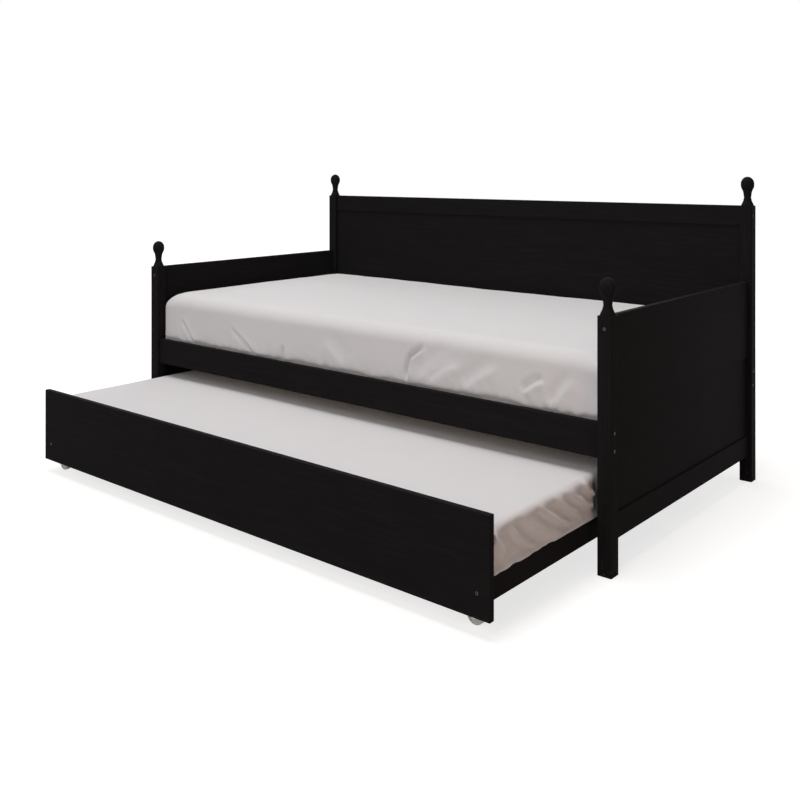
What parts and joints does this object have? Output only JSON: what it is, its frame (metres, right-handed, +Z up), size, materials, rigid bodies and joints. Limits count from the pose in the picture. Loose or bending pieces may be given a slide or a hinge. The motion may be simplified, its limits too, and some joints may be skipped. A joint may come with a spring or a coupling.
{
  "type": "trundle bed",
  "caption": "Black painted wooden daybed with turned finials and a pull-out trundle on casters, each with a mattress in a white fitted sheet",
  "frame": {"origin": "on the floor, in the middle of the whole bed's box with the trundle out as at rest", "axes": "+X along the bed, +Y from the trundle's front board to the bed's back, +Z up"},
  "size_m": [2.002, 1.521, 1.037],
  "materials": {
    "black_paint": "satin",
    "bare_pine": "matte",
    "dark_steel": "satin",
    "zinc_steel": "satin",
    "caster_nylon": "satin",
    "sheet_cotton": "matte",
    "mattress_ticking": "matte"
  },
  "bodies": {
    "daybed": {"back_panel": "black_paint", "back_top_rail": "black_paint", "daybed_barrel_nuts": "dark_steel", "daybed_bolts": "dark_steel", "daybed_dowels": "bare_pine", "daybed_front_ledger": "bare_pine", "daybed_rear_ledger": "bare_pine", "daybed_screws": "zinc_steel", "daybed_slats": "bare_pine", "finial_studs": "zinc_steel", "front_left_finial": "black_paint", "front_left_post": "black_paint", "front_rail": "black_paint", "front_right_finial": "black_paint", "front_right_post": "black_paint", "left_bottom_rail": "black_paint", "left_lower_panel": "black_paint", "left_upper_board": "black_paint", "rear_left_finial": "black_paint", "rear_left_post": "black_paint", "rear_rail": "black_paint", "rear_right_finial": "black_paint", "rear_right_post": "black_paint", "right_bottom_rail": "black_paint", "right_lower_panel": "black_paint", "right_upper_board": "black_paint", "upper_mattress": "mattress_ticking", "upper_sheet": "sheet_cotton"},
    "trundle": {"caster_screws": "zinc_steel", "front_left_caster_plate": "zinc_steel", "front_right_caster_plate": "zinc_steel", "rear_left_caster_plate": "zinc_steel", "rear_right_caster_plate": "zinc_steel", "trundle_back_board": "black_paint", "trundle_barrel_nuts": "dark_steel", "trundle_bolts": "dark_steel", "trundle_centre_beam": "bare_pine", "trundle_corner_blocks": "bare_pine", "trundle_dowels": "bare_pine", "trundle_front_board": "black_paint", "trundle_front_ledger": "bare_pine", "trundle_left_rail": "black_paint", "trundle_mattress": "mattress_ticking", "trundle_rear_ledger": "bare_pine", "trundle_right_rail": "black_paint", "trundle_screws": "zinc_steel", "trundle_sheet": "sheet_cotton", "trundle_slats": "bare_pine"},
    "front_left_fork": {"front_left_caster_axle": "zinc_steel", "front_left_caster_fork": "zinc_steel"},
    "front_left_wheel": {"front_left_caster_wheel": "caster_nylon"},
    "front_right_fork": {"front_right_caster_axle": "zinc_steel", "front_right_caster_fork": "zinc_steel"},
    "front_right_wheel": {"front_right_caster_wheel": "caster_nylon"},
    "rear_left_fork": {"rear_left_caster_axle": "zinc_steel", "rear_left_caster_fork": "zinc_steel"},
    "rear_left_wheel": {"rear_left_caster_wheel": "caster_nylon"},
    "rear_right_fork": {"rear_right_caster_axle": "zinc_steel", "rear_right_caster_fork": "zinc_steel"},
    "rear_right_wheel": {"rear_right_caster_wheel": "caster_nylon"}
  },
  "joints": [
    {"name": "trundle_slide", "type": "slide", "parent": "daybed", "child": "trundle", "axis": [0, -1, 0], "range_m": [-0.489, 0.6]},
    {"name": "front_left_caster_swivel", "type": "hinge", "parent": "trundle", "child": "front_left_fork", "pos_m": [-0.8915, -0.7035, 0.071], "axis": [0, 0, 1], "continuous": true},
    {"name": "front_left_wheel_spin", "type": "hinge", "parent": "front_left_fork", "child": "front_left_wheel", "pos_m": [-0.9095, -0.7035, 0.024], "axis": [0, 1, 0], "continuous": true},
    {"name": "front_right_caster_swivel", "type": "hinge", "parent": "trundle", "child": "front_right_fork", "pos_m": [0.8915, -0.7035, 0.071], "axis": [0, 0, 1], "continuous": true},
    {"name": "front_right_wheel_spin", "type": "hinge", "parent": "front_right_fork", "child": "front_right_wheel", "pos_m": [0.8735, -0.7035, 0.024], "axis": [0, 1, 0], "continuous": true},
    {"name": "rear_left_caster_swivel", "type": "hinge", "parent": "trundle", "child": "rear_left_fork", "pos_m": [-0.8915, 0.1845, 0.071], "axis": [0, 0, 1], "continuous": true},
    {"name": "rear_left_wheel_spin", "type": "hinge", "parent": "rear_left_fork", "child": "rear_left_wheel", "pos_m": [-0.9095, 0.1845, 0.024], "axis": [0, 1, 0], "continuous": true},
    {"name": "rear_right_caster_swivel", "type": "hinge", "parent": "trundle", "child": "rear_right_fork", "pos_m": [0.8915, 0.1845, 0.071], "axis": [0, 0, 1], "continuous": true},
    {"name": "rear_right_wheel_spin", "type": "hinge", "parent": "rear_right_fork", "child": "rear_right_wheel", "pos_m": [0.8735, 0.1845, 0.024], "axis": [0, 1, 0], "continuous": true}
  ]
}
